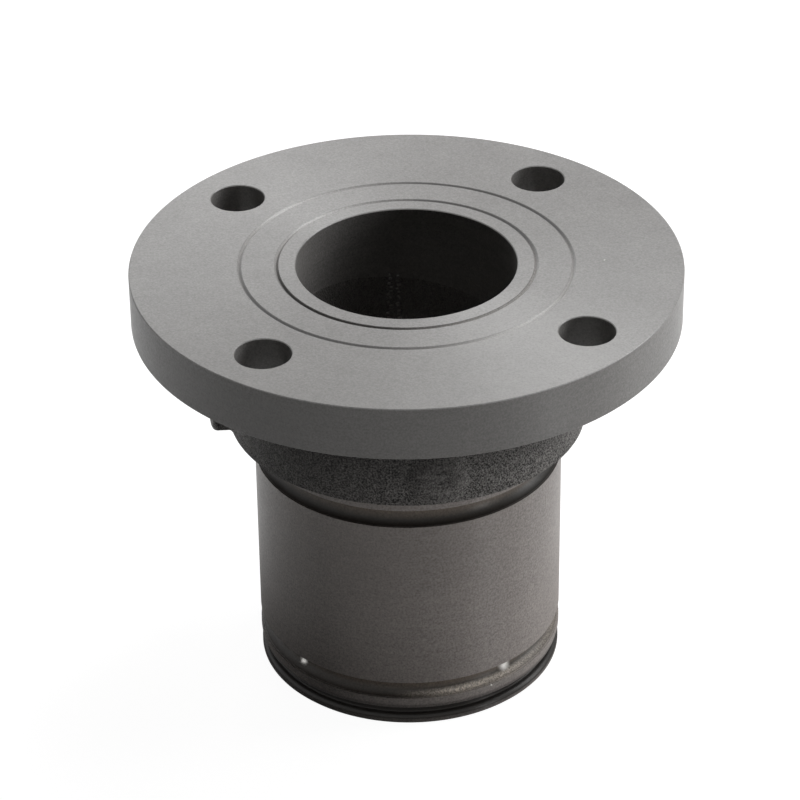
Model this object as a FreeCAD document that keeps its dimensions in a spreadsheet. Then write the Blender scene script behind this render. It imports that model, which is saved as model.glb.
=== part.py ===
import FreeCAD, Part

import math
import os
import re

import Sketcher

# Flat face flange on a turned spigot: one aluminium casting, machined all over except the neck, the collar
# and the core. Sizes are millimetres. The axis is Z, the spigot's end rests on Z = 0 and the face looks up.

SIZES = [
    # Flange
    ("flange_diameter", 190.5),
    ("flange_thickness", 19.05),
    ("overall_length", 157.2),
    ("edge_break", 0.3),
    # Bolt holes
    ("bolt_to_rim", 19.05),
    ("bolt_hole", 19.05),
    ("bolt_count", 4),
    ("first_bolt", 45.0),
    # Gasket grooves in the face
    ("face_groove_from_bore", 6.6),
    ("face_groove_pitch", 12.7),
    ("face_groove_width", 2.0),
    ("face_groove_depth", 0.5),
    # As-cast neck and collar
    ("neck_diameter", 112.0),
    ("neck_root_taper", 4.0),
    ("collar_diameter", 125.6),
    ("collar_below_flange", 20.0),
    ("collar_height", 19.55),
    ("collar_shoulder", 6.9),
    ("collar_top_round", 3.0),
    ("facing_allowance", 2.0),
    # Two round bosses that stand proud of the collar, with their diameter at the outer face. The front one
    # is dressed off low.
    ("boss_diameter", 19.6),
    ("boss_draft", 3.0),
    ("boss_root_fillet", 1.2),
    ("left_boss_bearing", 183.0),
    ("left_boss_proud", 6.8),
    ("left_boss_round", 2.0),
    ("front_boss_bearing", 273.0),
    ("front_boss_proud", 2.6),
    ("front_boss_round", 0.8),
    # Turned spigot
    ("spigot_diameter", 108.6),
    ("race_radius", 3.43),
    ("race_below_collar", 11.25),
    ("race_above_end", 14.7),
    # Seal groove and end lip
    ("seal_groove_width", 3.3),
    ("seal_groove_depth", 2.7),
    ("lip_diameter", 108.2),
    ("lip_length", 3.6),
    ("lip_bevel", 1.2),
    ("lip_chamfer", 0.8),
    ("land_relief", 0.4),
    ("land_relief_length", 2.0),
    # Bore: a turned mouth at each end of a cast core that bellies out between them
    ("bore_diameter", 76.2),
    ("bore_depth", 36.0),
    ("core_mouth_stock", 1.1),
    ("core_belly_depth", 0.9),
    ("core_taper_length", 50.0),
    ("core_offset", 0.2),
    ("spigot_mouth_chamfer", 1.0),
]

# Heights and radii that follow from the sizes above, all above the spigot's end.
DERIVED = [
    ("flange_back", "overall_length - flange_thickness"),
    ("collar_top", "flange_back - collar_below_flange"),
    ("collar_end", "collar_top - collar_height"),
    ("collar_radius", "collar_diameter / 2"),
    ("neck_radius", "neck_diameter / 2"),
    ("boss_height", "(collar_top + collar_end) / 2"),
    ("left_boss_reach", "collar_radius + left_boss_proud"),
    ("front_boss_reach", "collar_radius + front_boss_proud"),
    ("flange_radius", "flange_diameter / 2"),
    ("bolt_radius", "flange_radius - bolt_to_rim"),
    ("spigot_radius", "spigot_diameter / 2"),
    ("upper_race", "collar_end - race_below_collar"),
    ("lower_race", "race_above_end"),
    ("lip_radius", "lip_diameter / 2"),
    ("land_end", "lip_length + seal_groove_width"),
    ("land_end_radius", "spigot_radius - land_relief"),
    ("seal_floor", "spigot_radius - seal_groove_depth"),
    ("bore_radius", "bore_diameter / 2"),
    ("core_mouth", "bore_radius - core_mouth_stock"),
    ("core_belly", "bore_radius + core_belly_depth"),
    ("face_groove_radius", "bore_radius + face_groove_from_bore"),
]

ANGLES = ("boss_draft", "left_boss_bearing", "front_boss_bearing", "first_bolt")
NAMES = [name for name, _ in SIZES + DERIVED]

# How near, in millimetres, a point lies to an edge that is looked for.
NEAR = 0.02

doc = FreeCAD.newDocument("flat_face_flange")
sheet = doc.addObject("Spreadsheet::Sheet", "Sizes")


def bound(text, sheet_name="Sizes."):
    """Turn words such as 'bore_diameter / 2' into an expression on the sheet's cells."""
    def cell(match):
        word = match.group(0)
        if word not in NAMES:
            return word
        unit = " * 1 deg" if word in ANGLES else ""
        return "(" + sheet_name + word + unit + ")"

    return re.sub(r"[a-z_]+", cell, text)


def fill_sheet():
    """Write each size as a plain number, and each derived value as a formula on the cells above it."""
    row = 0
    for alias, number in SIZES:
        row += 1
        sheet.set("A%d" % row, alias)
        sheet.set("B%d" % row, str(number))
        sheet.setAlias("B%d" % row, alias)
    doc.recompute()
    for alias, words in DERIVED:
        row += 1
        sheet.set("A%d" % row, alias)
        sheet.set("B%d" % row, "=" + bound(words, ""))
        sheet.setAlias("B%d" % row, alias)
        doc.recompute()


def value(text):
    """The present value of a bound expression, as a plain number."""
    result = sheet.evalExpression(bound(text))
    return float(getattr(result, "Value", result))


def origin_plane(body, role):
    for feature in body.Origin.OriginFeatures:
        if feature.Role == role:
            return feature


def new_sketch(body, name, role):
    sketch = body.newObject("Sketcher::SketchObject", name)
    sketch.AttachmentSupport = [(origin_plane(body, role), "")]
    sketch.MapMode = "FlatFace"
    return sketch


def place_point(sketch, geometry, end, across, along):
    """Hold one end of an edge at a distance across and along from the sketch's origin."""
    for kind, words in (("DistanceX", across), ("DistanceY", along)):
        index = sketch.addConstraint(
            Sketcher.Constraint(kind, -1, 1, geometry, end, value(words))
        )
        sketch.setExpression("Constraints[%d]" % index, bound(words))


def corner_ends(before, corner, after, radius):
    """Where an arc of this radius leaves and rejoins the two lines that meet at a corner."""
    inwards, onwards = (before - corner).normalize(), (after - corner).normalize()
    reach = radius / math.tan(inwards.getAngle(onwards) / 2)
    return corner + inwards * reach, corner + onwards * reach


def corner_arc(start, corner, end, radius):
    """The arc that rounds a corner between the two places where it touches the lines."""
    chord = (start + end) / 2
    towards = (corner - chord).normalize()
    rise = radius - math.sqrt(radius ** 2 - (end - start).Length ** 2 / 4)
    return Part.Arc(start, chord + towards * rise, end)


def outline(sketch, corners):
    """Draw a closed outline. A corner is words for its two coordinates, and for its radius if round."""
    points = [FreeCAD.Vector(value(corner[0]), value(corner[1]), 0) for corner in corners]
    ends = []
    for number, corner in enumerate(corners):
        radius = value(corner[2]) if len(corner) > 2 else 0.0
        after = points[(number + 1) % len(points)]
        ends.append(corner_ends(points[number - 1], points[number], after, radius))
    first = sketch.GeometryCount
    for (_, start), (end, _) in zip(ends, ends[1:] + ends[:1]):
        sketch.addGeometry(Part.LineSegment(start, end), False)
    for number, corner in enumerate(corners):
        line = first + number
        previous = first + (number - 1) % len(corners)
        if len(corner) > 2:
            arc = corner_arc(ends[number][0], points[number], ends[number][1], value(corner[2]))
            round_corner(sketch, previous, line, arc, corner)
        else:
            sketch.addConstraint(Sketcher.Constraint("Coincident", previous, 2, line, 1))
            place_point(sketch, line, 1, corner[0], corner[1])
    doc.recompute()


def round_corner(sketch, previous, line, arc, corner):
    """Join two lines by a tangent arc, about a point that holds their sharp corner in place."""
    across, along, radius = corner
    sharp = sketch.addGeometry(Part.Point(FreeCAD.Vector(value(across), value(along), 0)), True)
    place_point(sketch, sharp, 1, across, along)
    for edge in (previous, line):
        sketch.addConstraint(Sketcher.Constraint("PointOnObject", sharp, 1, edge))
    index = sketch.addGeometry(arc, False)
    meets_first = (sketch.getPoint(index, 1) - sketch.getPoint(previous, 2)).Length < NEAR
    start, end = (1, 2) if meets_first else (2, 1)
    sketch.addConstraint(Sketcher.Constraint("Tangent", previous, 2, index, start))
    sketch.addConstraint(Sketcher.Constraint("Tangent", index, end, line, 1))
    size = sketch.addConstraint(Sketcher.Constraint("Radius", index, value(radius)))
    sketch.setExpression("Constraints[%d]" % size, bound(radius))


def round_hole(sketch, across, along, radius):
    """Draw a circle at a named place, with a named radius."""
    centre = FreeCAD.Vector(value(across), value(along), 0)
    circle = Part.Circle(centre, FreeCAD.Vector(0, 0, 1), value(radius))
    index = sketch.addGeometry(circle, False)
    size = sketch.addConstraint(Sketcher.Constraint("Radius", index, value(radius)))
    sketch.setExpression("Constraints[%d]" % size, bound(radius))
    place_point(sketch, index, 3, across, along)
    doc.recompute()


def turned(body, kind, name, sketch):
    """Revolve a section about the body's axis, as an added or a cut form."""
    feature = body.newObject(kind, name)
    feature.Profile = sketch
    feature.ReferenceAxis = (sketch, ["V_Axis"])
    feature.Angle = 360.0
    doc.recompute()
    return feature


def edges_where(shape, test):
    """Names of the shape's edges that pass a test on the edge."""
    return ["Edge%d" % (number + 1) for number, edge in enumerate(shape.Edges) if test(edge)]


def points_on(edge):
    """Five points spread along an edge."""
    span = edge.LastParameter - edge.FirstParameter
    return [edge.valueAt(edge.FirstParameter + span * step / 4) for step in range(5)]


def is_ring(edge, radius, height):
    """True for an arc or circle about the main axis with this radius and height."""
    return all(
        abs(math.hypot(point.x, point.y) - radius) < NEAR and abs(point.z - height) < NEAR
        for point in points_on(edge)
    )


def is_level_circle(edge, radius):
    """True for a whole level circle of this radius, wherever it lies."""
    level = edge.BoundBox.ZLength < NEAR
    return level and edge.isClosed() and abs(edge.Length - 2 * math.pi * radius) < NEAR


def dress(body, kind, name, test, size_name, words):
    """Add a fillet or chamfer on every edge of the body that passes the test."""
    base = body.Tip
    names = edges_where(base.Shape, test)
    if not names:
        raise RuntimeError(name + " finds no edge")
    feature = body.newObject(kind, name)
    feature.Base = (base, names)
    feature.setExpression(size_name, bound(words))
    doc.recompute()
    return feature


def cast_outside(body):
    """The casting's outside, with the spigot and the rim already at their turned sizes."""
    sketch = new_sketch(body, "casting_section", "XZ_Plane")
    outline(sketch, [
        ("0", "0"),
        ("lip_radius", "0"),
        ("lip_radius", "lip_length - lip_bevel"),
        ("lip_radius - 0.3 * lip_bevel", "lip_length - 0.3 * lip_bevel"),
        ("lip_radius - lip_bevel", "lip_length"),
        ("lip_radius - lip_bevel", "land_end"),
        ("land_end_radius", "land_end"),
        ("spigot_radius", "land_end + land_relief_length"),
        ("spigot_radius", "collar_end - facing_allowance"),
        ("collar_radius", "collar_end - facing_allowance"),
        ("collar_radius", "collar_top", "collar_top_round"),
        ("neck_radius", "collar_top + collar_shoulder"),
        ("neck_radius", "flange_back - neck_root_taper"),
        ("neck_radius + neck_root_taper", "flange_back"),
        ("flange_radius", "flange_back"),
        ("flange_radius", "overall_length"),
        ("0", "overall_length"),
    ])
    turned(body, "PartDesign::Revolution", "casting", sketch)


def cast_boss(body, side):
    """A round boss that stands out of the collar along its bearing, and widens inwards with its draft."""
    bearing, reach = side + "_boss_bearing", side + "_boss_reach"
    sketch = new_sketch(body, side + "_boss_outline", "XZ_Plane")
    upright = FreeCAD.Vector(0, 1, 0)
    turn = FreeCAD.Rotation(upright, value(bearing + " - 270 deg"))
    sketch.AttachmentOffset = FreeCAD.Placement(FreeCAD.Vector(0, 0, 1), turn)
    offset = "AttachmentOffset."
    sketch.setExpression(offset + "Rotation.Angle", bound(bearing + " - 270 deg"))
    sketch.setExpression(offset + "Base.x", bound("%s * cos(%s)" % (reach, bearing)))
    sketch.setExpression(offset + "Base.z", bound("-%s * sin(%s)" % (reach, bearing)))
    round_hole(sketch, "0", "boss_height", "boss_diameter / 2")
    boss = body.newObject("PartDesign::Pad", side + "_boss")
    boss.Profile = sketch
    boss.Reversed = True
    boss.setExpression("Length", bound(reach + " - spigot_radius"))
    boss.setExpression("TaperAngle", bound("boss_draft"))
    doc.recompute()
    dress_boss(body, side)


def dress_boss(body, side):
    """Blend a boss into the collar at its root, and round the rim of its face."""
    bearing = math.radians(value(side + "_boss_bearing"))
    outwards = FreeCAD.Vector(math.cos(bearing), math.sin(bearing), 0)
    start = FreeCAD.Vector(0, 0, value("boss_height"))
    slope = math.tan(math.radians(value("boss_draft")))
    face = value(side + "_boss_reach")

    def reach(point):
        return (point - start).dot(outwards)

    def is_on_side(point):
        across = (point - start - outwards * reach(point)).Length
        drafted = value("boss_diameter / 2") + slope * (face - reach(point))
        return abs(across - drafted) < NEAR

    def is_rim(edge):
        return all(abs(reach(point) - face) < NEAR for point in points_on(edge))

    def is_root(edge):
        points = points_on(edge)
        return all(is_on_side(point) and reach(point) < face - NEAR for point in points)

    dress(body, "PartDesign::Fillet", side + "_boss_root", is_root, "Radius", "boss_root_fillet")
    dress(body, "PartDesign::Fillet", side + "_boss_rim", is_rim, "Radius", side + "_boss_round")


def cast_core(body):
    """The cored passage. It widens inwards from both ends and sits a little to the left."""
    sketch = new_sketch(body, "core_section", "XZ_Plane")
    sketch.setExpression("AttachmentOffset.Base.x", bound("-core_offset"))
    outline(sketch, [
        ("0", "0"),
        ("core_mouth", "0"),
        ("core_belly", "core_taper_length"),
        ("core_belly", "overall_length - core_taper_length"),
        ("core_mouth", "overall_length"),
        ("0", "overall_length"),
    ])
    turned(body, "PartDesign::Groove", "core", sketch)


def faced_shoulder(body):
    """The collar's lower face, turned square to the spigot."""
    sketch = new_sketch(body, "shoulder_section", "XZ_Plane")
    outline(sketch, [
        ("spigot_radius", "collar_end - 3 * facing_allowance"),
        ("left_boss_reach + facing_allowance", "collar_end - 3 * facing_allowance"),
        ("left_boss_reach + facing_allowance", "collar_end"),
        ("spigot_radius", "collar_end"),
    ])
    turned(body, "PartDesign::Groove", "faced_shoulder", sketch)


def turned_mouths(body):
    """The bore turned in from each end, which runs out where the core is already wider."""
    for name, height, upwards in (("face_mouth", "overall_length", False), ("end_mouth", "0", True)):
        sketch = new_sketch(body, name + "_outline", "XY_Plane")
        sketch.setExpression("AttachmentOffset.Base.z", bound(height))
        round_hole(sketch, "0", "0", "bore_radius")
        pocket = body.newObject("PartDesign::Pocket", name)
        pocket.Profile = sketch
        pocket.Reversed = upwards
        pocket.setExpression("Length", bound("bore_depth"))
        doc.recompute()


def ball_races(body):
    """Two equal round grooves in the spigot, one under the collar and one near the end."""
    sketch = new_sketch(body, "race_sections", "XZ_Plane")
    round_hole(sketch, "spigot_radius", "upper_race", "race_radius")
    round_hole(sketch, "spigot_radius", "lower_race", "race_radius")
    turned(body, "PartDesign::Groove", "races", sketch)


def seal_groove(body):
    """The square groove between the last land and the end lip."""
    sketch = new_sketch(body, "seal_section", "XZ_Plane")
    outline(sketch, [
        ("seal_floor", "lip_length"),
        ("spigot_radius + edge_break", "lip_length"),
        ("spigot_radius + edge_break", "land_end"),
        ("seal_floor", "land_end"),
    ])
    turned(body, "PartDesign::Groove", "seal_groove", sketch)


def end_lip(body):
    """The lip's chamfered end and the mouth of the bore inside it."""
    lip, mouth = value("lip_radius"), value("bore_radius")
    dress(body, "PartDesign::Chamfer", "lip_end", lambda edge: is_ring(edge, lip, 0),
          "Size", "lip_chamfer")
    dress(body, "PartDesign::Chamfer", "end_mouth_chamfer", lambda edge: is_ring(edge, mouth, 0),
          "Size", "spigot_mouth_chamfer")


def face_grooves(body):
    """Two thin V grooves round the bore, which grip the gasket."""
    sketch = new_sketch(body, "face_groove_sections", "XZ_Plane")
    for middle in ("face_groove_radius", "face_groove_radius + face_groove_pitch"):
        outline(sketch, [
            (middle + " - face_groove_width / 2", "overall_length"),
            (middle, "overall_length - face_groove_depth"),
            (middle + " + face_groove_width / 2", "overall_length"),
        ])
    turned(body, "PartDesign::Groove", "face_grooves", sketch)


def bolt_holes(body):
    """Plain holes on the bolt circle, with none on the part's own axes."""
    sketch = new_sketch(body, "bolt_hole_place", "XY_Plane")
    sketch.setExpression("AttachmentOffset.Base.z", bound("overall_length"))
    first = ("bolt_radius * cos(first_bolt)", "bolt_radius * sin(first_bolt)")
    round_hole(sketch, first[0], first[1], "bolt_hole / 2")
    hole = body.newObject("PartDesign::Pocket", "bolt_hole")
    hole.Profile = sketch
    hole.setExpression("Length", bound("flange_thickness"))
    doc.recompute()
    pattern = body.newObject("PartDesign::PolarPattern", "bolt_holes")
    pattern.Originals = [hole]
    pattern.Axis = (sketch, ["N_Axis"])
    pattern.Angle = 360.0
    pattern.setExpression("Occurrences", bound("bolt_count"))
    body.Tip = pattern
    doc.recompute()


def edge_breaks(body):
    """The small chamfers on the rim, the bore and the bolt holes."""
    rings = [
        (value("flange_radius"), value("overall_length")),
        (value("flange_radius"), value("flange_back")),
        (value("bore_radius"), value("overall_length")),
    ]
    hole = value("bolt_hole / 2")

    def is_broken(edge):
        return any(is_ring(edge, *ring) for ring in rings) or is_level_circle(edge, hole)

    dress(body, "PartDesign::Chamfer", "edge_breaks", is_broken, "Size", "edge_break")


def build_flange_body():
    body = doc.addObject("PartDesign::Body", "flange_body")
    body.Label = "flange_body"
    cast_outside(body)
    cast_boss(body, "left")
    cast_boss(body, "front")
    cast_core(body)
    faced_shoulder(body)
    turned_mouths(body)
    ball_races(body)
    seal_groove(body)
    end_lip(body)
    face_grooves(body)
    bolt_holes(body)
    edge_breaks(body)
    return body


def check(body):
    """Stop if a feature failed, or if the body isn't one valid solid."""
    for item in doc.Objects:
        if {"Invalid", "Error"} & set(item.State):
            raise RuntimeError("%s is %s" % (item.Name, item.State))
    shape = body.Shape
    if shape.isNull() or not shape.isValid() or len(shape.Solids) != 1:
        raise RuntimeError(body.Label + " isn't one valid solid")


fill_sheet()
flange_body = build_flange_body()
doc.recompute()
check(flange_body)
os.makedirs("parts", exist_ok=True)
flange_body.Shape.exportStep("parts/" + flange_body.Label + ".step")
print(flange_body.Label, "volume %.0f mm3" % flange_body.Shape.Volume)
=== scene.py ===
import math

import bmesh
import bpy
from mathutils import Matrix, Vector


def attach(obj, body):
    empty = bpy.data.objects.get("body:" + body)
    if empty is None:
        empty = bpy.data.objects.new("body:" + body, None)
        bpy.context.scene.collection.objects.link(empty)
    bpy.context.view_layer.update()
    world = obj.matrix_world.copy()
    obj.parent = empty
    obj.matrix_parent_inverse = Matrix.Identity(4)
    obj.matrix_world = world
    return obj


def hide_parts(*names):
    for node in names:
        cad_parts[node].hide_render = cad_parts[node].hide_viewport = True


bl_info = {
    "name": "Flat face flange",
    "version": (1, 0, 0),
    "blender": (4, 5, 0),
    "location": "3D View > Sidebar > Flange",
    "description": "Dresses a cast and turned flat face flange",
    "category": "Object",
}

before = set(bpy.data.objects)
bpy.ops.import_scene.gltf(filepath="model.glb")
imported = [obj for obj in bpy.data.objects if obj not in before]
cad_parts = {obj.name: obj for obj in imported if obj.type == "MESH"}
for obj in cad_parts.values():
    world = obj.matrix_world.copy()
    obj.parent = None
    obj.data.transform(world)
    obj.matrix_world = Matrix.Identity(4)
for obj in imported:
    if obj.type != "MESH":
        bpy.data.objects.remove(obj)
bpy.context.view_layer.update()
MM = 0.001


def srgb(code):
    """An sRGB hex colour as linear red, green, blue and alpha."""
    parts = [int(code[i:i + 2], 16) / 255 for i in (0, 2, 4)]
    linear = [c / 12.92 if c <= 0.04045 else ((c + 0.055) / 1.055) ** 2.4 for c in parts]
    return (*linear, 1.0)


def in_scene(name, data):
    """A new object in the scene."""
    made = bpy.data.objects.new(name, data)
    bpy.context.scene.collection.objects.link(made)
    return made


def add(tree, kind, inputs=None, **settings):
    """Add a node with its settings. Its inputs go by name or number, or in order as a tuple. Each is a plain
    value, an output, or a node, for its first output, and a list holds several links."""
    node = tree.nodes.new(kind)
    for name, setting in settings.items():
        setattr(node, name, setting)
    if isinstance(inputs, tuple):
        inputs = dict(enumerate(inputs))
    for name, given in (inputs or {}).items():
        socket = node.inputs[name]
        for one in given if isinstance(given, list) else [given]:
            if isinstance(one, bpy.types.Node):
                one = one.outputs[0]
            if isinstance(one, bpy.types.NodeSocket):
                tree.links.new(one, socket)
            else:
                socket.default_value = one
    return node


def axis_distance(tree, where):
    """How far a place lies from the turned axis."""
    flat = add(tree, "ShaderNodeVectorMath", (where, (1, 1, 0)), operation="MULTIPLY")
    return add(tree, "ShaderNodeVectorMath", (flat,), operation="LENGTH").outputs["Value"]


def fades(tree, *steps):
    """Fades multiplied together. Each is a number, where it starts and ends, and the strengths there."""
    product = None
    for step in steps:
        fade = add(tree, "ShaderNodeMapRange", step)
        if product is not None:
            fade = add(tree, "ShaderNodeMath", (product, fade), operation="MULTIPLY")
        product = fade
    return product


def grains(tree, *layers):
    """Layers of noise added up. Each is its coordinates, width of a grain in metres, detail, roughness, share."""
    total = None
    for where, width, detail, roughness, share in layers:
        layer = add(tree, "ShaderNodeTexNoise", {
            "Vector": where, "Scale": 1 / width, "Detail": detail, "Roughness": roughness})
        if share != 1:
            layer = add(tree, "ShaderNodeMath", (layer, share), operation="MULTIPLY")
        if total is not None:
            layer = add(tree, "ShaderNodeMath", (total, layer), operation="ADD")
        total = layer
    return total


class FlangeSizes(bpy.types.PropertyGroup):
    """Sizes of the turned and cast body, in metres."""

    rim_radius: bpy.props.FloatProperty(
        name="Rim radius", description="Outside radius of the flange", default=0.09525, unit="LENGTH")
    face_height: bpy.props.FloatProperty(
        name="Face height", description="Height of the flange face above the spigot's end",
        default=0.1572, unit="LENGTH")
    rim_height: bpy.props.FloatProperty(
        name="Flange thickness", description="Thickness of the flange", default=0.01905, unit="LENGTH")
    bore_radius: bpy.props.FloatProperty(
        name="Bore radius", description="Radius of the turned bore", default=0.0381, unit="LENGTH")
    spigot_radius: bpy.props.FloatProperty(
        name="Spigot radius", description="Radius of the turned spigot", default=0.0543, unit="LENGTH")
    race_radius: bpy.props.FloatProperty(
        name="Race radius", description="Radius of the two round grooves in the spigot",
        default=0.00343, unit="LENGTH")
    collar_radius: bpy.props.FloatProperty(
        name="Collar radius", description="Radius of the rough cast collar", default=0.0628, unit="LENGTH")
    cast_shift: bpy.props.FloatProperty(
        name="Casting shift", description="How far the casting sits off the turned axis",
        default=0.0003, unit="LENGTH")
    bolt_circle: bpy.props.FloatProperty(
        name="Bolt circle radius", description="Radius of the circle that the bolt holes lie on",
        default=0.0762, unit="LENGTH")
    bolt_hole: bpy.props.FloatProperty(
        name="Bolt hole radius", description="Radius of a bolt hole", default=0.009525, unit="LENGTH")
    bolt_count: bpy.props.IntProperty(
        name="Bolt holes", description="Number of bolt holes", default=4, min=1)
    edge_break: bpy.props.FloatProperty(
        name="Edge break", description="Width of the small bevels on turned edges", default=0.0003, unit="LENGTH")
    segments: bpy.props.IntProperty(
        name="Segments", description="Faces round each turned surface", default=360, min=24)


class CastingSizes(bpy.types.PropertyGroup):
    """Sizes of the two cast bosses, in metres."""

    left_reach: bpy.props.FloatProperty(
        name="Left boss", description="Distance of the left boss's face from the axis", default=0.0696, unit="LENGTH")
    front_reach: bpy.props.FloatProperty(
        name="Front boss", description="Distance of the low front boss's face from the axis",
        default=0.0642, unit="LENGTH")
    seam_bumps: bpy.props.IntProperty(
        name="Seam bumps", description="Number of small bumps along the core's seam", default=46, min=2)
    seam_size: bpy.props.FloatProperty(
        name="Seam bump size", description="Radius of a large bump on the core's seam", default=0.0009, unit="LENGTH")


class FinishColours(bpy.types.PropertyGroup):
    """Colours of the finishes."""

    turned: bpy.props.FloatVectorProperty(
        name="Turned faces", description="Hard anodised coat on the turned flange",
        size=4, subtype="COLOR", min=0, max=1, default=srgb("7C7A78"))
    faced: bpy.props.FloatVectorProperty(
        name="Flange face", description="The same coat on the flange's flat face, a little shinier",
        size=4, subtype="COLOR", min=0, max=1, default=srgb("787674"))
    spigot: bpy.props.FloatVectorProperty(
        name="Spigot", description="Browner coat on the turned spigot",
        size=4, subtype="COLOR", min=0, max=1, default=srgb("918A86"))
    # Partly painted shade: this coat is drawn darker than the spigot's for the shade in the grooves; its browner tint
    # is the coat's own.
    groove: bpy.props.FloatVectorProperty(
        name="Grooves", description="Browner, duller coat in the grooves of the spigot",
        size=4, subtype="COLOR", min=0, max=1, default=srgb("4C453E"))
    cast: bpy.props.FloatVectorProperty(
        name="Cast faces", description="Hard anodised coat on rough cast faces",
        size=4, subtype="COLOR", min=0, max=1, default=srgb("656361"))
    bare: bpy.props.FloatVectorProperty(
        name="Bare marks", description="Bare metal where the coat is missing",
        size=4, subtype="COLOR", min=0, max=1, default=srgb("F4F2EE"))
    # Painted highlight: colour of the light band low in the lower race, standing in for the lamps' shine there, not
    # for wear.
    race_highlight: bpy.props.FloatVectorProperty(
        name="Worn band", description="Coat that looks rubbed thin in the lower race",
        size=4, subtype="COLOR", min=0, max=1, default=srgb("E4DACE"))


class StageSettings(bpy.types.PropertyGroup):
    """Power of the lamps and brightness of the surroundings."""

    top: bpy.props.FloatProperty(
        name="Top light", description="Power of the light high above on the right", default=11.5, min=0, unit="POWER")
    back: bpy.props.FloatProperty(
        name="Back light", description="Power of the low light behind the flange", default=6.0, min=0, unit="POWER")
    right: bpy.props.FloatProperty(
        name="Right light", description="Power of the high light on the right", default=8.0, min=0, unit="POWER")
    overhead: bpy.props.FloatProperty(
        name="Overhead light", description="Power of the light nearly overhead", default=5.4, min=0, unit="POWER")
    right_low: bpy.props.FloatProperty(
        name="Low right light", description="Power of the low light on the right", default=5.6, min=0, unit="POWER")
    front_low: bpy.props.FloatProperty(
        name="Low front light", description="Power of the small low light in front on the right", default=3.0,
        min=0, unit="POWER")
    ambient: bpy.props.FloatProperty(
        name="Ambient", description="Level of the even light from all round", default=0.0, min=0)


def arc(centre, radius, start, end, steps):
    """Points on an arc about a centre, with the angles in degrees."""
    points = []
    for step in range(steps + 1):
        angle = math.radians(start + (end - start) * step / steps)
        points.append((centre[0] + radius * math.cos(angle), centre[1] + radius * math.sin(angle)))
    return points


def fillet(before, corner, after, radius, steps):
    """Points on the round of this radius between the two lines that meet in a corner."""
    corner = Vector(corner)
    inwards, onwards = (Vector(before) - corner).normalized(), (Vector(after) - corner).normalized()
    half = inwards.angle(onwards) / 2
    centre = corner + (inwards + onwards).normalized() * (radius / math.sin(half))
    first = corner + inwards * (radius / math.tan(half)) - centre
    last = corner + onwards * (radius / math.tan(half)) - centre
    spread = [first.lerp(last, step / steps).normalized() * radius for step in range(steps + 1)]
    return [tuple(centre + point) for point in spread]


def section(corners):
    """A chain of points from single points, lists of points, and corners with a fillet radius and its steps."""
    points = []
    for number, corner in enumerate(corners):
        if isinstance(corner, list):
            points.extend(corner)
        elif len(corner) == 2:
            points.append(corner)
        else:
            before, after = corners[number - 1], corners[number + 1]
            before = before[-1] if isinstance(before, list) else before
            after = after[0] if isinstance(after, list) else after
            points.extend(fillet(before[:2], corner[:2], after[:2], *corner[2:]))
    return points


def rows(low, high, radius, count):
    """Points up a plain wall, close enough together to take the casting's unevenness."""
    return [(radius, low + (high - low) * step / count) for step in range(count + 1)]


def wire(name, points):
    """A section in millimetres as a chain of edges, with its radius on X and its height on Z."""
    mesh = bpy.data.meshes.new(name)
    places = [(radius * MM, 0, height * MM) for radius, height in points]
    mesh.from_pydata(places, [(i, i + 1) for i in range(len(places) - 1)], [])
    return in_scene(name, mesh)


# Sizes in millimetres that aren't settings: radii from the axis, and heights above the spigot's end.
NECK = 56.0
LIP, LIP_TOP = 54.1, 3.6
SEAL_FLOOR, SEAL_TOP = 51.6, 6.9
LOWER_RACE, UPPER_RACE = 14.7, 87.35
RELIEF_TOP = 8.9
COLLAR_FOOT, COLLAR_WALL_TOP, COLLAR_TOP, NECK_FOOT = 97.0, 115.0, 118.15, 125.05
FACED_SHOULDER = 98.6
INNER_FACE_GROOVE, OUTER_FACE_GROOVE = 44.7, 57.4
CORE_MOUTH, CORE_BELLY, CORE_TAPER = 37, 39, 50


def face_groove(middle, face):
    """A thin V groove in the flange's face, from its outer edge inwards."""
    return [(middle + 0.8, face), (middle, face - 0.6), (middle - 0.8, face)]


def body_section(sizes):
    """From the spigot's end up the outside, over the face and down the bore."""
    spigot, bore, collar = sizes.spigot_radius / MM, sizes.bore_radius / MM, sizes.collar_radius / MM
    race, rim, face = sizes.race_radius / MM, sizes.rim_radius / MM, sizes.face_height / MM
    bevel = sizes.edge_break / MM
    back = face - sizes.rim_height / MM
    return wire("body_section", section([
        (bore + 1.0, 0),
        (LIP - 0.8, 0),
        (LIP, 0.8),
        (LIP, LIP_TOP, 1.4, 8),
        (SEAL_FLOOR, LIP_TOP, 0.5, 4),
        (SEAL_FLOOR, SEAL_TOP, 0.5, 4),
        (53.78, SEAL_TOP),
        (53.9, SEAL_TOP + 0.12),
        (spigot, RELIEF_TOP),
        arc((spigot, LOWER_RACE), race, -90, -270, 28),
        arc((spigot, UPPER_RACE), race, -90, -270, 28),
        (spigot, COLLAR_FOOT),
        rows(COLLAR_FOOT, COLLAR_WALL_TOP, collar, 22),
        (collar, COLLAR_TOP, 3.0, 6),
        (NECK, NECK_FOOT, 4.0, 6),
        (NECK, 127.0),
        (NECK, 131.0),
        (NECK, back, 4.0, 6),
        (rim - bevel, back),
        (rim, back + bevel),
        (rim, face - bevel),
        (rim - bevel, face),
        face_groove(OUTER_FACE_GROOVE, face),
        face_groove(INNER_FACE_GROOVE, face),
        (bore + bevel, face),
        (bore, face - bevel),
        (bore, 1.0),
        (bore + 1.0, 0),
    ]))


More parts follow.
